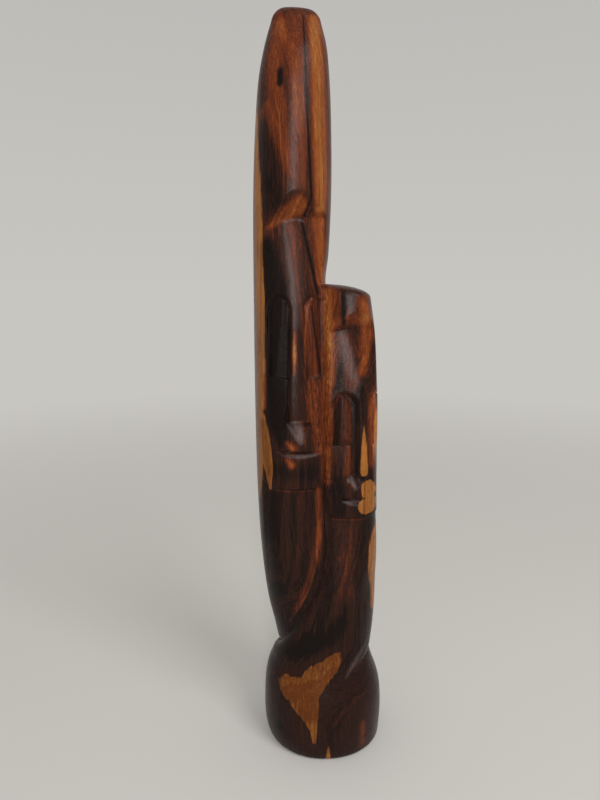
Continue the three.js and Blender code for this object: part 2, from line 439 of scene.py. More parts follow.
@dataclass
class Figure:
    """The whole carving: two masked trunks that twist together above one round foot."""

    height: float = 380.0
    crown_rounding: float = 8.0
    shoulder_top: float = 251.0
    shoulder_rounding: float = 7.0
    lobes_full: float = 122.0
    lobes_start: float = 78.0
    foot_edge: float = 1.5
    foot_inset: float = 0.8
    log_squareness: float = 2.1
    groove_spread_deg: Pair = (36.0, 15.0)
    groove_floor_deg: float = 1.2
    tall_arc_deg: Pair = (-53.0, -310.0)
    short_arc_deg: Pair = (-128.0, 130.0)
    tall_axis: float = -17.6
    short_axis: float = 12.2
    short_left: float = 19.0
    tall_turn_deg: float = 8.0
    short_turn_deg: float = 8.0
    columns: int = 216
    row_cuts: int = 20
    row_rounds: int = 2
    row_samples: int = 4001
    cut_share: float = 1.6
    cut_spread: float = 2.5
    face_share: float = 0.6
    blank_radius: float = 1.0
    blank_height: float = 1.0
    left_flank: Profile = Profile((
        (0, -30.3), (4, -32), (11, -33.1), (22, -33.2), (32, -32.7), (40, -31.2), (47, -28.9),
        (53, -28.4), (60, -28.6), (66, -29.2), (80, -31.6), (95, -33.3), (134, -35.7), (170, -36.6),
        (240, -36.9), (297, -36.5), (332, -34.8), (350, -33), (364, -30), (373, -27.2)))
    right_flank: Profile = Profile((
        (0, 31.8), (5, 32.2), (14, 32.7), (22, 32.6), (30, 31.8), (35, 30.6), (39, 29.3), (44, 27.8),
        (50, 27.2), (58, 27.2), (67, 27.8), (85, 28.6), (103, 29), (121, 28.6), (155, 27.4), (180, 27),
        (204, 25.8), (228, 24.4), (244, 22.2)))
    tall_right: Profile = Profile((
        (78, 5), (230, 5), (251, -0.6), (266, 0.9), (297, 2.3), (332, 1.9), (350, 1), (364, -0.5),
        (373, -2.8)))
    log_front: Profile = Profile((
        (0, 29.8), (5, 31), (14, 31.8), (25, 31.4), (35, 29.8), (45, 27), (52, 25), (60, 24),
        (95, 23.5)))
    log_back: Profile = Profile((
        (0, 28.5), (14, 30), (25, 29.8), (35, 28.4), (52, 24), (70, 23.2), (95, 22.5)))
    tall_front: Profile = Profile((
        (78, 22), (150, 23.5), (186, 25.4), (240, 24.4), (294, 22), (330, 19.5), (360, 13.6),
        (373, 7.2)))
    tall_back: Profile = Profile((
        (78, 21), (150, 22.5), (250, 22.5), (300, 21), (340, 18.5), (360, 16), (373, 13)))
    tall_squareness: Profile = Profile(((78, 2.3), (240, 2.3), (290, 2.05), (340, 2), (373, 2)))
    short_front: Profile = Profile((
        (78, 22), (140, 22.6), (156, 24.2), (200, 23.4), (230, 21.4), (244, 19)))
    short_back: Profile = Profile(((78, 21), (200, 21.5), (244, 18.5)))
    short_squareness: Profile = Profile(((78, 2.3), (200, 2.3), (244, 2.1)))
    groove_turn: Profile = Profile((
        (34, -162), (41, -154), (45, -142), (49.5, -112), (53, -88), (63, -58), (71, -44), (82, -29.5),
        (93, -17.5), (107, -10), (130, -5)))
    column_turn: Profile = Profile((
        (34, -84), (53, -76), (63, -58), (71, -44), (82, -29.5), (93, -17.5), (107, -10), (130, -5)))
    groove_depth: Profile = Profile((
        (28, 0), (36, 0.8), (42, 2.4), (48, 3.6), (53, 4), (63, 4.5), (95, 4)))
    tall_mask: Mask = Mask(
        yaw_deg=8,
        brow=Brow(
            crease=282, run=11.8, depth=6.5, drop=5, ridge_shift=-4, slopes=(0.42, 0.1), rounding=6),
        eyes=Eyes(
            top=244.2, ledge=204.5, ledge_rise=1.8, inner=3.4, outer=13.4, arch=10, socket_inner=2.6,
            socket=(1.6, 3.6), proud=0, crown=1.1, ridge=(0.25, 0.75)),
        lips=Lips(
            cheek=1.7, fold=Profile(((164, 12.6), (169, 12), (182, 6.8), (189, 5.2), (204, 4.2))),
            hollow=Profile(((160, 1.7), (166, 2), (176, 2.8), (184, 3.4), (205, 3.4))),
            scoop_middle=1, scoop_half=5.4, scoop_run=13, scoop_lean=1.4, scoop_depth=3,
            scoop_turn=0.14),
        mouth=Mouth(height=167.6, middle=0.8, half=11.5, tilt=-0.07, depth=2.1, gape=(0.7, 2.8)),
        chin=Chin(height=147.6, tilt=-0.03, corner_rise=2, depth=1.6, run=60),
        nose_half=(3.1, 5.3), nose_drift=1, nose_bottom=183.2)
    short_mask: Mask = Mask(
        yaw_deg=17,
        brow=Brow(crease=229.8, run=8.5, depth=5.4, drop=2.4, ridge_shift=-5, slopes=(0.3, 0.12)),
        eyes=Eyes(
            top=196.2, ledge=170.8, ledge_rise=0, inner=6, outer=14.2, arch=7.5, socket_inner=2.2,
            socket=(2, 3.4), proud=0.7, crown=1.5, ridge=(0.5, 0.5)),
        lips=Lips(
            cheek=1.6, fold=Profile(((136, 7), (147, 7.6), (154, 6), (171, 5.6))),
            hollow=Profile(((134, 1.6), (142, 1.8), (149, 2.6), (155, 3.4), (171, 3.4))),
            scoop_middle=-1.6, scoop_half=6.2, scoop_run=8, scoop_lean=-2.2, scoop_depth=2.6,
            scoop_turn=0.26),
        mouth=Mouth(height=142.4, middle=-4.6, half=5.4, tilt=-0.06, depth=2.4, gape=(0.8, 3)),
        chin=Chin(height=132, tilt=0, corner_rise=1.4, depth=1.6, run=40),
        nose_half=(2.4, 2.4), nose_drift=0, nose_bottom=155)

    def tall_trunk(self, height: Array) -> Trunk:
        """The tall figure's trunk, rounded at the crown.

        Args:
            height: Heights of the points.

        Returns:
            The trunk's outline at each height.
        """
        start = self.height - self.crown_rounding
        rounding = self.crown_rounding * quarter_round(share(height, start, self.height))
        left = self.left_flank.at(height)
        right = self.tall_right.at(height)
        axis = blend(self.tall_axis, (left + right) / 2, ease(height, self.shoulder_top, self.height))
        reaches = (axis - left, right - axis, self.tall_front.at(height), self.tall_back.at(height))
        rounded = tuple(reach - rounding for reach in reaches)
        return Trunk(axis, rounded, self.tall_squareness.at(height), self.tall_turn_deg)

    def short_trunk(self, height: Array) -> Trunk:
        """The short figure's trunk.

        Args:
            height: Heights of the points.

        Returns:
            The trunk's outline at each height.
        """
        axis = np.full_like(height, self.short_axis)
        left = np.full_like(height, self.short_left)
        right = self.right_flank.at(height) - axis
        reaches = (left, right, self.short_front.at(height), self.short_back.at(height))
        return Trunk(axis, reaches, self.short_squareness.at(height), self.short_turn_deg)

    def log_points(self, height: Array, on_tall: Array, part: Array) -> tuple[Array, Array]:
        """Points of the twisted lower log.

        Args:
            height: Heights of the points.
            on_tall: Whether each point's column starts on the tall figure's body.
            part: How far round its body each point is, from one groove to the other.

        Returns:
            The points' X and Y.
        """
        start = self.column_turn.at(height) - np.where(on_tall, 90, 270)
        turn = start - blend(self.groove_floor_deg, 180 - self.groove_floor_deg, part)
        past = np.mod(turn + 90 - self.groove_turn.at(height), 360)
        tall_spread, short_spread = self.groove_spread_deg
        spread = np.where(past > 180, tall_spread, short_spread)
        past = np.mod(past, 180)
        depth = self.groove_depth.at(height) * np.exp(-np.minimum(past, 180 - past) / spread)
        edge = self.foot_inset * quarter_round(share(height, self.foot_edge, 0))
        angle = np.radians(turn)
        reaches = (
            -self.left_flank.at(height), self.right_flank.at(height), self.log_front.at(height),
            self.log_back.at(height))
        reach = outline_radius(angle, reaches, self.log_squareness) - depth - edge
        return reach * np.cos(angle), reach * np.sin(angle)

    def surface(self, column: Array, height: Array) -> tuple[Array, Array]:
        """Points of the carving for columns of the mesh at given heights.

        Args:
            column: Column numbers, from the front groove round by the left.
            height: Heights of the points.

        Returns:
            The points' X and Y.
        """
        per_body = self.columns // 2
        on_tall = column < per_body
        step = column % per_body
        linear = step / (per_body - 1)
        from_front = np.where(on_tall, linear, 1 - linear)
        dense = (from_front + from_front ** 2) / 2
        part = np.where(on_tall, dense, 1 - dense)

        start, stop = self.tall_arc_deg
        flank = blend(stop, start - 360, (step + 1) / (per_body + 1))
        tall_angle = np.radians(np.where(on_tall, blend(start, stop, part), flank))
        tall_height = np.where(on_tall, height, np.maximum(height, self.shoulder_top))
        x, y = self.tall_trunk(tall_height).carved(tall_angle, tall_height, self.tall_mask)

        short_angle = np.radians(blend(self.short_arc_deg[1], self.short_arc_deg[0], part))
        short_x, short_y = self.short_trunk(height).carved(short_angle, height, self.short_mask)
        edge = self.shoulder_top - self.shoulder_rounding
        gone = quarter_round(share(height, edge, self.shoulder_top))
        on_short = ~on_tall & (height < self.shoulder_top)
        x = np.where(on_short, blend(short_x, x, gone), x)
        y = np.where(on_short, blend(short_y, y, gone), y)

        log_x, log_y = self.log_points(height, on_tall, part)
        as_trunks = ease(height, self.lobes_start, self.lobes_full)
        return blend(log_x, x, as_trunks), blend(log_y, y, as_trunks)

    def row_heights(self) -> Array:
        """Spread the mesh's rows, closer together on the faces and at the crisp cuts.

        Returns:
            The rows' heights, from the underside to the top.
        """
        cuts = [self.shoulder_top, self.height]
        for mask in (self.tall_mask, self.short_mask):
            cuts += [mask.brow.crease, mask.eyes.ledge, mask.nose_bottom]
            cuts += [mask.mouth.height, mask.chin.height]
        fine = np.linspace(0, self.height, self.row_samples)
        density = np.ones_like(fine)
        for cut in cuts:
            density += self.cut_share * np.exp(-((fine - cut) / self.cut_spread) ** 2)
        lowest = self.short_mask.chin.height
        highest = self.tall_mask.brow.crease + self.tall_mask.brow.run
        density[(fine > lowest) & (fine < highest)] += self.face_share
        run = np.concatenate([[0], np.cumsum((density[1:] + density[:-1]) / 2)])
        rows = (self.row_cuts + 1) ** self.row_rounds
        return np.interp(np.linspace(0, run[-1], rows + 1), run, fine)

    def blank(self) -> bpy.types.Object:
        """Add the round blank, cut into rows all the way up.

        Returns:
            The blank, its rows evenly spaced.
        """
        bpy.ops.object.select_all(action="DESELECT")
        bpy.ops.mesh.primitive_cylinder_add(
            vertices=self.columns, radius=self.blank_radius, depth=self.blank_height,
            location=(0, 0, self.blank_height / 2), end_fill_type="TRIFAN")
        bpy.ops.object.transform_apply(location=True, rotation=True, scale=True)
        piece = bpy.context.object
        bpy.ops.object.mode_set(mode="EDIT")
        bpy.ops.mesh.select_mode(type="EDGE")
        for _ in range(self.row_rounds):
            grid = bmesh.from_edit_mesh(piece.data)
            for edge in grid.edges:
                first, second = edge.verts
                edge.select = abs(first.co.z - second.co.z) > TINY
            bmesh.update_edit_mesh(piece.data)
            bpy.ops.mesh.subdivide(number_cuts=self.row_cuts)
        bpy.ops.object.mode_set(mode="OBJECT")
        return piece

    def build(self) -> bpy.types.Object:
        """Carve the blank.

        Returns:
            The finished mesh object, at the origin.
        """
        piece = self.blank()
        piece.name = "carving"
        points = read_points(piece)
        rows = self.row_heights()
        row = points[:, 2] / self.blank_height * (len(rows) - 1)
        height = rows[np.rint(row).astype(int)]
        turn = np.arctan2(-points[:, 0], -points[:, 1]) / math.tau
        column = np.mod(np.rint(turn * self.columns), self.columns).astype(int)
        x, y = self.surface(column, height)
        hub = np.hypot(points[:, 0], points[:, 1]) < self.blank_radius / 2
        crown = self.tall_trunk(np.array([self.height])).axis[0]
        x = np.where(hub, np.where(height > 0, crown, 0), x)
        y = np.where(hub, 0, y)
        piece.data.vertices.foreach_set("co", (np.stack([x, y, height], axis=1) * MM).ravel())
        piece.data.update()
        bpy.ops.object.shade_smooth()
        return piece


def read_points(piece: bpy.types.Object) -> Array:
    """Read a mesh's vertices.

    Args:
        piece: The mesh object.

    Returns:
        Rows of X, Y and Z, in the mesh's own units.
    """
    points = np.empty(len(piece.data.vertices) * 3)
    piece.data.vertices.foreach_get("co", points)
    return points.reshape(-1, 3)


class Field(Enum):
    """What a painted mark changes in the wood."""

    SAP = "sap"
    TONE = "tone"
    ROUGH = "rough"
    TORN = "torn"
    # Painted sheen: pale grey highlights where edges and facets catch the light.
    PAINTED_SHEEN = "worn"
    POLISH = "polish"


@dataclass(frozen=True)
class Mark:
    """A mark on the front, for the wood's colour and for painted light and shade: a line of round spots
    of X, Z and radius, joined up.
    """

    field: Field
    amount: float
    soft: float
    spots: tuple[Triple, ...]

    def inside(self, x: Array, z: Array) -> Array:
        """Measure points against the mark's edge.

        Args:
            x: Places across the front.
            z: Heights above the underside.

        Returns:
            How far inside the mark each point lies, negative outside.
        """
        best = np.full_like(x, -FAR)
        spots = self.spots if len(self.spots) > 1 else self.spots * 2
        for first, second in zip(spots[:-1], spots[1:]):
            run_x = second[0] - first[0]
            run_z = second[1] - first[1]
            length = max(run_x ** 2 + run_z ** 2, TINY)
            part = np.clip(((x - first[0]) * run_x + (z - first[1]) * run_z) / length, 0, 1)
            away = np.hypot(x - first[0] - part * run_x, z - first[1] - part * run_z)
            best = np.maximum(best, blend(first[2], second[2], part) - away)
        return best


@dataclass(frozen=True)
class Shell:
    """Pale sapwood outside a dark core, on one flank of the log."""

    core: Pair
    radius: Profile

    def inside(self, points: Array) -> Array:
        """How far inside the sapwood each point lies, negative in the core."""
        from_core = np.hypot(points[:, 0] - self.core[0], points[:, 1] - self.core[1])
        return from_core - self.radius.at(points[:, 2])


def tone(amount: float, soft: float, *spots: Triple) -> Mark:
    """A lighter or darker mark."""
    return Mark(Field.TONE, amount, soft, spots)


def sap(*spots: Triple) -> Mark:
    """A sapwood mark."""
    return Mark(Field.SAP, 1.0, 0.0, spots)


def rough(amount: float, soft: float, *spots: Triple) -> Mark:
    """A mark left rough by the tools."""
    return Mark(Field.ROUGH, amount, soft, spots)


def worn(amount: float, soft: float, *spots: Triple) -> Mark:
    """A painted sheen: a pale grey highlight on edges and facets that catch the light."""
    return Mark(Field.PAINTED_SHEEN, amount, soft, spots)


def torn(amount: float, soft: float, *spots: Triple) -> Mark:
    """A mark whose sapwood is deeper in colour, with a ragged edge."""
    return Mark(Field.TORN, amount, soft, spots)


def polish(amount: float, soft: float, *spots: Triple) -> Mark:
    """A mark rubbed to a higher polish."""
    return Mark(Field.POLISH, amount, soft, spots)


@dataclass(frozen=True)
class Figuring:
    """The wood's own light and dark where it lies on the carving, and painted light and shade."""

    front_fade: Pair = (8.0, -6.0)
    sap_limit: float = 9.0
    # Tone by height, darker towards the bottom: partly the wood's own tone, partly painted shade where
    # less light reaches the lower half.
    plain_tone: Profile = Profile((
        (0, -0.45), (30, -0.4), (60, -0.65), (90, -0.5), (140, -0.48), (165, -0.3), (230, -0.2),
        (300, 0.05), (380, 0.1)))
    shells: tuple[Shell, ...] = (
        Shell((6, -4), Profile((
            (100, 52), (125, 42.5), (150, 40.2), (180, 39.9), (318, 39.6), (334, 40.5), (350, 48)))),
        Shell((-12, 0), Profile((
            (64, 48), (75, 40), (88, 38.9), (116, 38.8), (130, 40.4), (150, 41), (190, 40.4),
            (205, 46)))))
    forehead: tuple[Mark, ...] = (
        tone(-1.8, 0.9, (-22.4, 347, 0.9), (-22.4, 341.5, 1.2)),
        tone(
            -1.5, 0.4, (-11.8, 374, 0.2), (-10.4, 343, 0.3), (-9, 312, 0.35), (-7.8, 291, 0.3),
            (-11.2, 283, 0.4)),
        tone(-1.3, 0.5, (-12.3, 280, 0.5), (-9, 266, 0.6), (-5.6, 251, 0.6), (-4.6, 246, 0.4)),
        tone(
            1.25, 1.6, (-6.8, 373, 2.6), (-5.2, 353, 3.2), (-4, 326, 3.4), (-3.2, 295, 3.2),
            (-3.4, 286.4, 2.8)),
        tone(
            0.62, 2.5, (-22.5, 370, 3), (-25.5, 348, 3.5), (-25, 334, 4), (-21.5, 318, 3),
            (-18, 301, 1)),
        tone(0.4, 3, (-15, 372, 3), (-14.5, 330, 3), (-14, 298, 3)),
        tone(-0.6, 3.5, (-31.5, 326, 1), (-28.5, 303, 5), (-26, 289, 5)))
    tall_face: tuple[Mark, ...] = (
        # Partly the wood's red-brown, partly painted light: the downward-facing notch facet under the
        # forehead made lighter as if lit.
        tone(0.85, 1.6, (-28, 277.5, 1), (-20.5, 283.5, 3.2), (-13.5, 287.5, 4)),
        tone(0.25, 2, (-17.5, 276, 4), (-15, 244, 3)),
        tone(1.1, 1.6, (-4, 280.6, 2.8), (-2.6, 252, 2.2)),
        # Partly dark heartwood, partly painted shade: the tall face's left eye socket and left side
        # made darker.
        tone(-0.9, 2.5, (-29.5, 268, 4.5), (-25.5, 248, 5.5), (-23.5, 224, 5.5), (-24.5, 186, 5)),
        tone(-0.7, 2, (-24, 182, 4), (-22, 173, 2.5)),
        tone(2.0, 0.9, (-16, 228, 0.1), (-15.9, 217, 1.1), (-16.1, 207, 0.2)),
        tone(1.2, 0.8, (-30.6, 214, 0.8), (-31, 190, 1.0)),
        sap(
            (-32.4, 186, 1.4), (-31, 174, 2.8), (-29.8, 162, 2.6), (-28.8, 154, 1.6),
            (-28.4, 147.5, 0.5)),
        tone(-0.6, 1.6, (-31.6, 182, 2), (-29.6, 162, 2.6), (-28.6, 150, 1.4)),
        tone(1.5, 1.8, (-19.6, 172.6, 1.2), (-17, 170, 1.4)),
        tone(1.5, 1.8, (-19.4, 164, 1.0), (-17.6, 161, 1.8)),
        tone(0.75, 2, (-7, 202, 3.4), (-5.2, 182, 3), (-4.2, 168, 2.4)),
        rough(1, 1.5, (-7, 202, 3), (-4.6, 170, 2.6)),
        # Painted light: the scoop under the tall face's nose made lighter where its facet catches the
        # light.
        tone(0.5, 1, (-13, 181, 3.6), (-11.6, 173, 1)),
        rough(0.9, 1, (-13, 182, 4), (-11.6, 172, 1)),
        tone(0.6, 1.6, (-9.4, 240, 2), (-8, 222, 2.4), (-7, 208, 2.4)),
        tone(0.9, 0.6, (-7.4, 244, 0.3), (-9.8, 239, 0.4), (-10.8, 224, 0.4), (-10.8, 205, 0.3)),
        tone(-0.8, 0.6, (-7.9, 240, 0.3), (-5.4, 224, 0.4), (-2.7, 206, 0.4)),
        tone(-0.35, 3, (-26, 158, 4), (-8, 157, 4)),
        rough(0.7, 2, (-23.5, 238, 4), (-24, 210, 5)),
        # Painted sheen: pale highlights on the crease under the brow, the scoop under the nose and the
        # lower lip.
        worn(0.5, 0.6, (-20.5, 280, 0.4), (-14.6, 281.2, 0.5), (-11.8, 280.4, 0.3)),
        worn(0.8, 1.2, (-15.4, 181.4, 3), (-13.6, 176, 2.2), (-12.7, 172.5, 0.5)),
        worn(0.35, 0.6, (-20, 166.4, 0.3), (-13.2, 165.2, 0.7), (-5, 165.4, 0.3)))
    between: tuple[Mark, ...] = (
        # Partly the groove's pale rough wood, partly painted light that lifts the shade inside the
        # groove.
        tone(1.15, 2.2, (-0.8, 247, 1.8), (0.4, 223, 2.2), (0.6, 193, 2.2), (0.8, 152, 2)),
        rough(1.3, 1.2, (-0.8, 247, 2), (0.5, 200, 2.2), (0.8, 150, 2)))
    short_face: tuple[Mark, ...] = (
        tone(0.65, 1.8, (1.4, 247, 2.2), (2.2, 234, 2.4), (2.6, 222, 2)),
        tone(0.6, 1.5, (5.6, 246, 0.9), (5.2, 232, 0.8)),
        tone(-1.1, 0.7, (7.9, 247, 0.8), (8.1, 232, 0.7)),
        tone(1.0, 2.4, (18.3, 243, 2.6), (19.5, 227, 2.8), (18.2, 208, 2.4)),
        tone(0.6, 1.8, (3.3, 219, 2), (3.7, 203, 1.8)),
        tone(-0.7, 1.4, (6.6, 212, 0.8), (5.6, 201, 1.2)),
        tone(0.4, 2, (8.6, 224, 3.6), (12.2, 203, 3.6)),
        tone(-0.55, 1.6, (17.2, 200, 1.6), (16.6, 184, 1.4)),
        # Painted shade: a dark strip in the recess beside the short face's nose.
        tone(-0.6, 1, (14, 197, 1), (15.2, 157, 1)),
        tone(-0.3, 1.2, (5.4, 192, 1.4), (5, 172, 1.8)),
        # Painted sheen: a lighter tone down the right facet of the short face's eye.
        tone(0.4, 1.4, (10, 194, 1.8), (10.4, 158, 2.2)),
        tone(-0.35, 2, (4.6, 153, 2.4), (7.2, 136, 3)),
        tone(0.6, 1.2, (23.5, 196, 2), (23.5, 160, 2)),
        sap((18.8, 182.5, 0.2), (18.8, 172, 1.2), (19, 160, 2.1), (19, 158, 2)),
        sap((21.6, 148.5, 3.8), (22.5, 146, 4)),
        sap((21, 138.6, 4.4), (22.5, 139, 4.6)),
        # Painted light: the scoop under the short face's nose made lighter where its facet catches the
        # light.
        tone(0.5, 1, (12.5, 153.5, 1.6), (14.5, 148.5, 0.8)),
        rough(0.9, 1, (12.5, 153.5, 2.4), (14.5, 148.5, 1)),
        tone(0.35, 1.6, (23.6, 199, 0.8), (23.2, 186, 2.2), (23.6, 162, 2.4)),
        tone(0.8, 0.8, (24.4, 201, 0.3), (24.8, 192, 0.7), (25.2, 182, 0.4)),
        # Painted highlight: a thin light line along the top edge of the body under the short face's
        # chin.
        tone(0.8, 0.5, (3.5, 131.3, 0.3), (22, 131.2, 0.3)),
        # Painted light: the short face's downward-facing brow notch made lighter as if lit.
        tone(0.55, 2, (5, 231.6, 2), (9, 233.4, 2.4), (19, 233.8, 2.6)),
        # Painted highlight: a thin light line round the left side and arch of the short face's eye.
        tone(0.7, 0.6, (3.5, 174, 0.3), (3.4, 189, 0.4), (5.7, 196.5, 0.4), (9.9, 197.2, 0.3)),
        # Painted sheen: pale highlights on the shoulder's top edge, the facet under the nose and the
        # lower lip.
        worn(0.45, 1, (0.5, 250.6, 0.8), (8.3, 250.2, 1.2), (16.3, 248.6, 0.8)),
        worn(0.95, 0.8, (12.4, 153.4, 1.6), (15, 149, 0.5)),
        worn(0.4, 0.6, (8.8, 141.4, 0.3), (12.4, 140.4, 0.8), (16.6, 141.6, 0.4)))
    bodies: tuple[Mark, ...] = (
        # Painted shade: the left flank darkened as the side turned away from the light.
        tone(-1.6, 2.6, (-38, 345, 2.4), (-38.5, 240, 3.2), (-38, 170, 3), (-37.5, 120, 2)),
        tone(
            0.75, 1.6, (-3.6, 147, 2), (-3.2, 131, 2.2), (-5.8, 110, 1.8), (-11.6, 89, 1.2),
            (-17, 78, 0.6)),
        # Painted highlight: a thin light line along the top edge of the body under the tall face's
        # chin.
        tone(0.8, 0.5, (-27, 147.2, 0.3), (-7, 146.6, 0.3)),
        # Painted highlight: a thin light line along the edge of the twist on the left.
        tone(0.9, 0.6, (-3, 131, 0.4), (-4.6, 107, 0.4), (-8, 94, 0.4), (-13, 83, 0.4), (-19, 72, 0.3)),
        tone(-0.35, 4, (-26, 142, 4), (-27, 112, 4), (-24, 86, 3)),
        tone(0.4, 2, (-13, 144, 1.6), (-13.5, 118, 1.6), (-18, 92, 1)),
        tone(0.5, 4, (10, 127, 4), (10.5, 90, 4)),
        # Painted highlight: a thin light line and a pale sheen along the ridge of the twist on the
        # right.
        tone(0.8, 0.6, (23, 59.5, 0.4), (18.8, 54.4, 0.5), (14.2, 49.6, 0.5), (11.4, 44, 0.3)),
        worn(0.3, 1.4, (21.6, 58, 0.4), (18.4, 53.6, 1.3), (14.6, 49.4, 1.3), (12, 45, 0.4)),
        tone(-0.7, 3, (-18, 56, 3), (-8, 62, 4), (3, 68, 4), (8, 76, 3)))
    foot: tuple[Mark, ...] = (
        sap((-23.6, 38.4, 1.4), (-18.6, 38.2, 6), (-12, 37, 8.4)),
        sap((-11, 38.5, 6.5), (-3, 47, 6.2), (2, 51, 5), (5.6, 54.8, 3.8), (8, 58.4, 1)),
        sap((-11, 33, 7.6), (-8.2, 27, 4.6), (-6, 19, 1.9), (-5.5, 11.5, 0.6)),
        sap((1.8, 9.5, 0.4), (1.8, 0.5, 1.4)),
        torn(1, 3, (-22, 40, 6), (-8, 36, 12), (6, 55, 8)),
        torn(0.6, 3, (-8, 22, 5), (-5, 14, 5)),
        tone(0.8, 2, (20.4, 18, 1.6), (20.6, 5, 1.8)),
        tone(-1.2, 1.6, (-24, 14.8, 1.4)),
        tone(-0.4, 5, (-27, 34, 4), (-25, 10, 4)))
    polished: tuple[Mark, ...] = (
        polish(0.55, 4, (-14.4, 342, 2), (-15, 307, 3), (-15.2, 294, 2.4)),
        polish(1, 3, (-17.2, 277, 1.6), (-15.6, 261, 3), (-14.3, 248, 3), (-14.3, 232, 1.6)),
        polish(1, 2.4, (7.4, 226.6, 1), (10, 219, 3), (13, 207, 2.6), (17, 202, 1.4)),
        polish(0.7, 1.8, (11.6, 246, 2), (11.7, 237.6, 1.6)),
        polish(0.8, 1.6, (9.4, 194, 1), (9.8, 176, 1.4)))

    def paint(self, piece: bpy.types.Object) -> None:
        """Store the fields on the carving's vertices.

        Args:
            piece: The carving.
        """
        points = read_points(piece) / MM
        x, y, z = points.T
        in_front = ease(y, *self.front_fade)
        fields = {field: np.zeros_like(x) for field in Field}
        fields[Field.SAP] = np.max([shell.inside(points) for shell in self.shells], axis=0)
        fields[Field.TONE] = self.plain_tone.at(z)
        marks = self.forehead + self.tall_face + self.between + self.short_face
        marks += self.bodies + self.foot + self.polished
        for mark in marks:
            inside = mark.inside(x, z)
            if mark.field is Field.SAP:
                on_front = np.where(y < 0, inside, -FAR)
                fields[Field.SAP] = np.maximum(fields[Field.SAP], on_front)
            else:
                fields[mark.field] += mark.amount * ease(inside, -mark.soft, mark.soft) * in_front
        fields[Field.SAP] = np.clip(fields[Field.SAP], -self.sap_limit, self.sap_limit)
        for field, values in fields.items():
            layer = piece.data.attributes.new(field.value, "FLOAT", "POINT")
            layer.data.foreach_set("value", values)


class Shade:
    """A shader value: a node's output socket that takes part in Python sums."""

    def __init__(self, graph: "Graph", socket: bpy.types.NodeSocket) -> None:
        """Wrap an output socket of a graph."""
        self.graph = graph
        self.socket = socket

    def math(self, operation: str, *others: Any) -> "Shade":
        """Add a Math node with this value as its first input."""
        inputs = dict(enumerate((self, *others)))
        return self.graph.value("ShaderNodeMath", {"operation": operation}, inputs)

    def __add__(self, other: Any) -> "Shade":
        """Sum with a number or another value."""
        return self.math("ADD", other)

    __radd__ = __add__

    def __mul__(self, other: Any) -> "Shade":
        """Product with a number or another value."""
        return self.math("MULTIPLY", other)

    __rmul__ = __mul__

    def __sub__(self, other: Any) -> "Shade":
        """Difference from a number or another value."""
        return self.math("SUBTRACT", other)

    def __rsub__(self, other: float) -> "Shade":
        """A number less this value."""
        return self.graph.value("ShaderNodeMath", {"operation": "SUBTRACT"}, {0: other, 1: self})

    def step(self, start: float, stop: float) -> "Shade":
        """Soft step over a span of this value.

        Args:
            start: Value where the step is 0.
            stop: Value where it is 1.

        Returns:
            The step.
        """
        settings = {"interpolation_type": "SMOOTHSTEP"}
        inputs = {"Value": self, "From Min": start, "From Max": stop, "To Min": 0.0, "To Max": 1.0}
        return self.graph.value("ShaderNodeMapRange", settings, inputs)


@dataclass(frozen=True)
class Grain:
    """Noise in the wood: its features' size on each axis, its octaves, and a shift."""

    size: Triple
    detail: float
    shift: float


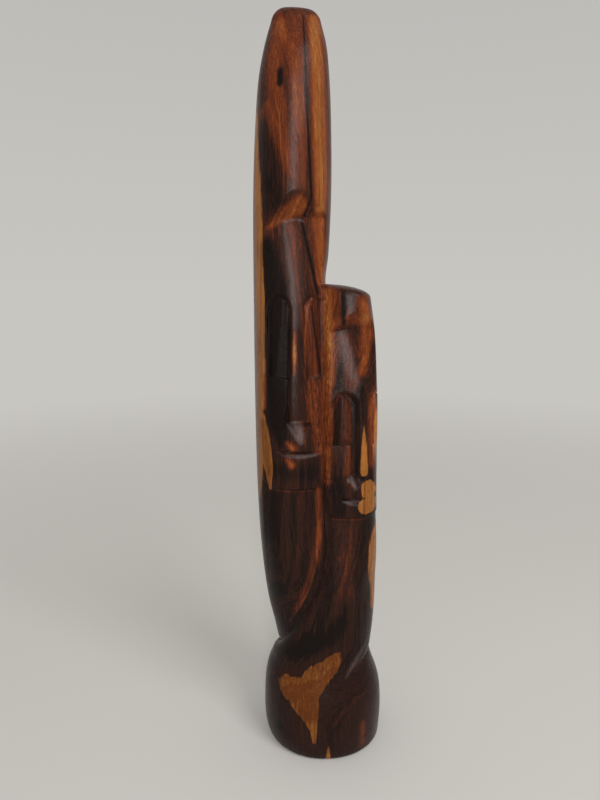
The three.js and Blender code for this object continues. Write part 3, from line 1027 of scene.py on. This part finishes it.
class Graph:
    """The node tree of a material or a world."""

    def __init__(self, holder: Any) -> None:
        """Take up a node tree.

        Args:
            holder: A new material or world.
        """
        holder.use_nodes = True
        self.holder = holder
        self.tree = holder.node_tree

    def node(self, kind: str, settings: Settings, inputs: Inputs) -> bpy.types.Node:
        """Add any node.

        Args:
            kind: The node's type.
            settings: Its properties, set first.
            inputs: Values or links of its sockets, by name or number.

        Returns:
            The node.
        """
        node = self.tree.nodes.new(kind)
        for name, value in settings.items():
            setattr(node, name, value)
        self.feed(node, inputs)
        return node

    def feed(self, node: bpy.types.Node, inputs: Inputs) -> None:
        """Set or link a node's inputs.

        Args:
            node: The node.
            inputs: Values or links of its sockets, by name or number.
        """
        for key, value in inputs.items():
            if isinstance(value, Shade):
                self.tree.links.new(value.socket, node.inputs[key])
            else:
                node.inputs[key].default_value = value

    def finish(self, node_name: str, inputs: Inputs) -> None:
        """Set or link the inputs of the tree's own shader."""
        self.feed(self.tree.nodes[node_name], inputs)

    def value(self, kind: str, settings: Settings, inputs: Inputs, output: Any = 0) -> Shade:
        """Add a node and take one of its outputs."""
        return Shade(self, self.node(kind, settings, inputs).outputs[output])

    def mix(self, first: Any, second: Any, factor: Any) -> Shade:
        """Blend two colours."""
        inputs = {MIX_FACTOR: factor, MIX_FIRST: first, MIX_SECOND: second}
        return self.value("ShaderNodeMix", {"data_type": "RGBA"}, inputs, output=MIX_RESULT)

    def parts(self, vector: Shade) -> tuple[Shade, Shade, Shade]:
        """A vector's three values."""
        node = self.node("ShaderNodeSeparateXYZ", {}, {"Vector": vector})
        return tuple(Shade(self, socket) for socket in node.outputs)

    def vector(self, x: Any, y: Any, z: Any) -> Shade:
        """A vector of three values."""
        return self.value("ShaderNodeCombineXYZ", {}, {"X": x, "Y": y, "Z": z})

    def noise(self, place: Shade, detail: float, roughness: float = 0.55) -> Shade:
        """Noise at a place, about 0, with features about one unit across."""
        inputs = {"Vector": place, "Scale": 1.0, "Detail": detail, "Roughness": roughness}
        return self.value("ShaderNodeTexNoise", {"noise_dimensions": "3D"}, inputs) - NOISE_MIDDLE

    def grain(self, place: Shade, grain: Grain) -> Shade:
        """Noise of one of the wood's grains.

        Args:
            place: Object coordinates in metres.
            grain: The grain.

        Returns:
            The noise, about 0.
        """
        scale = tuple(1.0 / (length * MM) for length in grain.size)
        inputs = {"Vector": place, "Location": (grain.shift,) * 3, "Scale": scale}
        return self.noise(self.value("ShaderNodeMapping", {}, inputs), grain.detail)

    def attribute(self, field: Field) -> Shade:
        """Read a field stored on the mesh's vertices."""
        settings = {"attribute_type": "GEOMETRY", "attribute_name": field.value}
        return self.value("ShaderNodeAttribute", settings, {}, output="Fac")


@dataclass(frozen=True)
class Stain:
    """A colour that the wood turns to over a span of lightness."""

    colour: Colour
    span: Pair


def weigh(patterns: tuple[Shade, ...], weights: Weights) -> Shade:
    """Sum of patterns, each times its weight."""
    return sum(pattern * weight for pattern, weight in zip(patterns, weights))


@dataclass(frozen=True)
class Hardwood:
    """Polished dense hardwood: ringed dark heartwood with golden sapwood.

    The heart and sap weights are those of the painted tone, rings, streaks, fibres, ring lines
    and hair lines. The edge weights are those of the drift, streaks and tears, the gloss weights
    those of the fibres, waves, pores and tool marks, and the relief weights likewise.
    """

    black: Colour = (0.0075, 0.004, 0.003, 1)
    dark: Stain = Stain((0.030, 0.0105, 0.0065, 1), (-1.1, -0.35))
    red: Stain = Stain((0.135, 0.028, 0.0085, 1), (-0.4, 0.5))
    brown: Stain = Stain((0.235, 0.060, 0.014, 1), (0.35, 1.0))
    gold: Stain = Stain((0.355, 0.137, 0.030, 1), (0.9, 1.6))
    sap_deep: Colour = (0.115, 0.030, 0.005, 1)
    sap: Stain = Stain((0.41, 0.155, 0.034, 1), (-1.3, 0.2))
    sap_pale: Stain = Stain((0.53, 0.255, 0.080, 1), (0.2, 1.0))
    # Colour of the painted sheen, pale grey highlights where edges and facets catch the light.
    worn: Colour = (0.20, 0.155, 0.15, 1)
    pith: Pair = (-7.0, 7.0)
    pith_lean: float = 0.03
    ring_width: float = 2.7
    ring_drift: float = 260.0
    ring_slice: float = 0.5
    ring_detail: float = 3.0
    ring_roughness: float = 0.6
    wide_waver: Grain = Grain((16, 16, 120), 2, 7.3)
    fine_waver: Grain = Grain((3, 3, 90), 2, 3.1)
    waver_reach: Pair = (7.0, 0.7)
    streak: Grain = Grain((1.1, 1.1, 90), 3, 1.7)
    fibre: Grain = Grain((0.28, 0.28, 9), 2, 2.9)
    pore: Grain = Grain((0.24, 0.24, 3.4), 1, 4.1)
    drift: Grain = Grain((2.2, 2.2, 7), 3, 5.3)
    tool: Grain = Grain((1.2, 1.2, 2.6), 2, 6.7)
    tear: Grain = Grain((3.2, 3.2, 30), 1, 9.7)
    wave: Grain = Grain((7, 7, 16), 2, 8.9)
    line_width: float = 0.035
    hair_level: float = 0.02
    hair_width: float = 0.03
    heart_weights: Weights = (1.0, 1.5, 1.2, 0.9, -0.35, -0.35)
    sap_weights: Weights = (0.7, 1.6, 1.5, 0.6, -0.25, 0.0)
    edge_weights: Weights = (1.0, 0.8, 3.0)
    edge_span: Pair = (-0.35, 0.35)
    tool_shade: float = 1.4
    torn_shade: float = 0.75
    # Least strength of the painted sheen along its streaks.
    painted_sheen_least: float = 0.7
    pore_span: Pair = (0.09, 0.19)
    pore_shade: float = 0.6
    roughness: float = 0.27
    gloss_weights: Weights = (0.2, 0.16, 0.15, 0.22)
    relief_weights: Weights = (0.05, 0.55, -0.06, 0.7)
    relief_strength: float = 0.6
    specular: float = 0.09
    coat: float = 0.03
    polish: float = 0.42
    coat_roughness: float = 0.36

    def rings(self, graph: Graph, place: Shade) -> Shade:
        """Growth rings round a slightly leaning pith.

        Args:
            graph: The material's nodes.
            place: Object coordinates in metres.

        Returns:
            The rings' light and dark, about 0.
        """
        x, y, z = (part * (1.0 / MM) for part in graph.parts(place))
        wavers = (graph.grain(place, self.wide_waver), graph.grain(place, self.fine_waver))
        from_x = x - z * self.pith_lean - self.pith[0]
        from_y = y - self.pith[1]
        radius = (from_x * from_x + from_y * from_y).math("SQRT") + weigh(wavers, self.waver_reach)
        ring = radius * (1 / self.ring_width)
        across = graph.vector(ring, self.ring_slice, z * (1 / self.ring_drift))
        return graph.noise(across, self.ring_detail, self.ring_roughness)

    def stained(self, graph: Graph, base: Any, shade: Shade, stains: tuple[Stain, ...]) -> Shade:
        """Colour of the wood at a lightness.

        Args:
            graph: The material's nodes.
            base: Colour of the darkest wood.
            shade: The lightness.
            stains: Colours it turns to, from dark to light.

        Returns:
            The colour.
        """
        for stain in stains:
            base = graph.mix(base, stain.colour, shade.step(*stain.span))
        return base

    def material(self) -> bpy.types.Material:
        """Build the material.

        Returns:
            The material, which reads the painted fields.
        """
        graph = Graph(bpy.data.materials.new("polished_hardwood"))
        place = graph.value("ShaderNodeTexCoord", {}, {}, output="Object")
        rings = self.rings(graph, place)
        grains = (self.streak, self.fibre, self.drift, self.tool, self.tear, self.wave)
        streak, fibre, drift, tool, tear, wave = (graph.grain(place, grain) for grain in grains)
        pores = graph.grain(place, self.pore).step(*self.pore_span)
        painted = {field: graph.attribute(field) for field in Field}
        rough = painted[Field.ROUGH]
        line = rings.math("ABSOLUTE").step(self.line_width, 0.0)
        hair = (streak - self.hair_level).math("ABSOLUTE").step(self.hair_width, 0.0)
        patterns = (painted[Field.TONE], rings, streak, fibre, line, hair)

        shade = weigh(patterns, self.heart_weights) + rough * (tool + fibre) * self.tool_shade
        heart = self.stained(graph, self.black, shade, (self.dark, self.red, self.brown, self.gold))
        pale = weigh(patterns, self.sap_weights) - painted[Field.TORN] * self.torn_shade
        sapwood = self.stained(graph, self.sap_deep, pale, (self.sap, self.sap_pale))
        ragged = weigh((drift, streak, tear * painted[Field.TORN]), self.edge_weights)
        in_sap = (painted[Field.SAP] + ragged).step(*self.edge_span)
        colour = graph.mix(heart, sapwood, in_sap)
        # Painted sheen: pale grey highlights mixed into the colour where the sheen marks lie, streaked
        # by the fibres.
        painted_sheen_amount = painted[Field.PAINTED_SHEEN] * (fibre + streak + self.painted_sheen_least)
        colour = graph.mix(colour, self.worn, painted_sheen_amount)
        colour = graph.mix(colour, self.black, pores * self.pore_shade)

        gloss = weigh((fibre, wave, pores, rough), self.gloss_weights) + self.roughness
        relief = weigh((fibre, wave, pores, rough * tool), self.relief_weights)
        bump = graph.value("ShaderNodeBump", {}, {
            "Height": relief, "Strength": self.relief_strength, "Distance": MM})
        graph.finish("Principled BSDF", {
            "Base Color": colour, "Roughness": gloss, "Normal": bump,
            "Specular IOR Level": self.specular,
            "Coat Weight": painted[Field.POLISH] * self.polish + self.coat,
            "Coat Roughness": self.coat_roughness})
        return graph.holder


@dataclass(frozen=True)
class Lamp:
    """A soft light, with a width and a height, aimed at a height on the carving's middle."""

    name: str
    place: Triple
    size: Pair
    power: float
    aim: float

    def hang(self) -> None:
        """Hang the light."""
        bpy.ops.object.light_add(type="AREA", location=self.place)
        light = bpy.context.object
        light.name = self.name
        light.data.shape = "RECTANGLE"
        light.data.size, light.data.size_y = self.size
        light.data.energy = self.power
        x, y, z = self.place
        tip = math.atan2(math.hypot(x, y), z - self.aim)
        light.rotation_euler = (tip, 0, math.atan2(x, -y))


@dataclass(frozen=True)
class Studio:
    """A pale floor, soft lights and the camera."""

    floor_size: float = 40.0
    floor_fade: Pair = (0.0, 1.3)
    floor_roughness: float = 0.7
    floor_colour: Colour = (0.74, 0.72, 0.685, 1)
    world_front: Colour = (0.40, 0.392, 0.38, 1)
    world_back: Colour = (0.58, 0.565, 0.535, 1)
    world_top: Colour = (0.42, 0.41, 0.395, 1)
    world_turn: Pair = (-0.35, 0.55)
    nothing: Colour = (0, 0, 0, 1)
    lamps: tuple[Lamp, ...] = (
        Lamp("window", (0.5, -0.6, 1.0), (0.45, 0.45), 4.2, 0.36),
        Lamp("strip", (0.03, -1.2, 0.64), (0.15, 1.0), 7.3, 0.5))
    camera_place: Triple = (-0.0132, -0.3132, 0.2460)
    camera_pitch_deg: float = 10.0
    lens: float = 27.0
    sensor: float = 36.0
    nearest: float = 0.01

    def floor(self) -> None:
        """Lay the floor."""
        bpy.ops.object.select_all(action="DESELECT")
        bpy.ops.mesh.primitive_plane_add(size=self.floor_size, location=(0, 0, 0))
        floor = bpy.context.object
        floor.name = "floor"
        graph = Graph(bpy.data.materials.new("pale_floor"))
        place = graph.value("ShaderNodeTexCoord", {}, {}, output="Object")
        x, y, _ = graph.parts(place)
        distance = (x * x + y * y).math("SQRT")
        far = distance.step(*self.floor_fade)
        around = self.horizon(graph, y.math("DIVIDE", distance))
        graph.finish("Principled BSDF", {
            "Base Color": graph.mix(self.floor_colour, self.nothing, far),
            "Roughness": self.floor_roughness, "Specular IOR Level": 0.0, "Emission Strength": 1.0,
            "Emission Color": graph.mix(self.nothing, around, far)})
        floor.data.materials.append(graph.holder)

    def horizon(self, graph: Graph, along: Shade) -> Shade:
        """Colour of the surroundings at floor level, pale behind the carving and dim in front."""
        return graph.mix(self.world_front, self.world_back, along.step(*self.world_turn))

    def world(self) -> None:
        """Light the surroundings, which fade from the horizon to the top."""
        graph = Graph(bpy.data.worlds.new("studio"))
        direction = graph.value("ShaderNodeTexCoord", {}, {}, output="Generated")
        _, along, up = graph.parts(direction)
        colour = graph.mix(self.horizon(graph, along), self.world_top, up.math("MAXIMUM", 0.0))
        graph.finish("Background", {"Color": colour, "Strength": 1.0})
        bpy.context.scene.world = graph.holder

    def camera(self) -> None:
        """Set the camera at the photograph's viewing angle."""
        pitch = math.radians(90 - self.camera_pitch_deg)
        bpy.ops.object.camera_add(location=self.camera_place, rotation=(pitch, 0, 0))
        camera = bpy.context.object
        camera.data.lens = self.lens
        camera.data.sensor_width = self.sensor
        camera.data.clip_start = self.nearest
        bpy.context.scene.camera = camera

    def set_up(self) -> None:
        """Put up the whole studio."""
        self.floor()
        for lamp in self.lamps:
            lamp.hang()
        self.world()
        self.camera()
        bpy.context.scene.view_settings.view_transform = "Standard"


def main() -> None:
    """Build the carving and its studio in order."""
    logging.basicConfig(level=logging.INFO, format="%(name)s: %(message)s")
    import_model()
    carving = Figure().build()
    Figuring().paint(carving)
    carving.data.materials.append(Hardwood().material())
    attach(carving, BODY)
    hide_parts(NODE)
    LOG.info("carving: %d faces", len(carving.data.polygons))
    Studio().set_up()
    LOG.info("studio: floor, lights and camera")


if __name__ == "__main__":
    main()
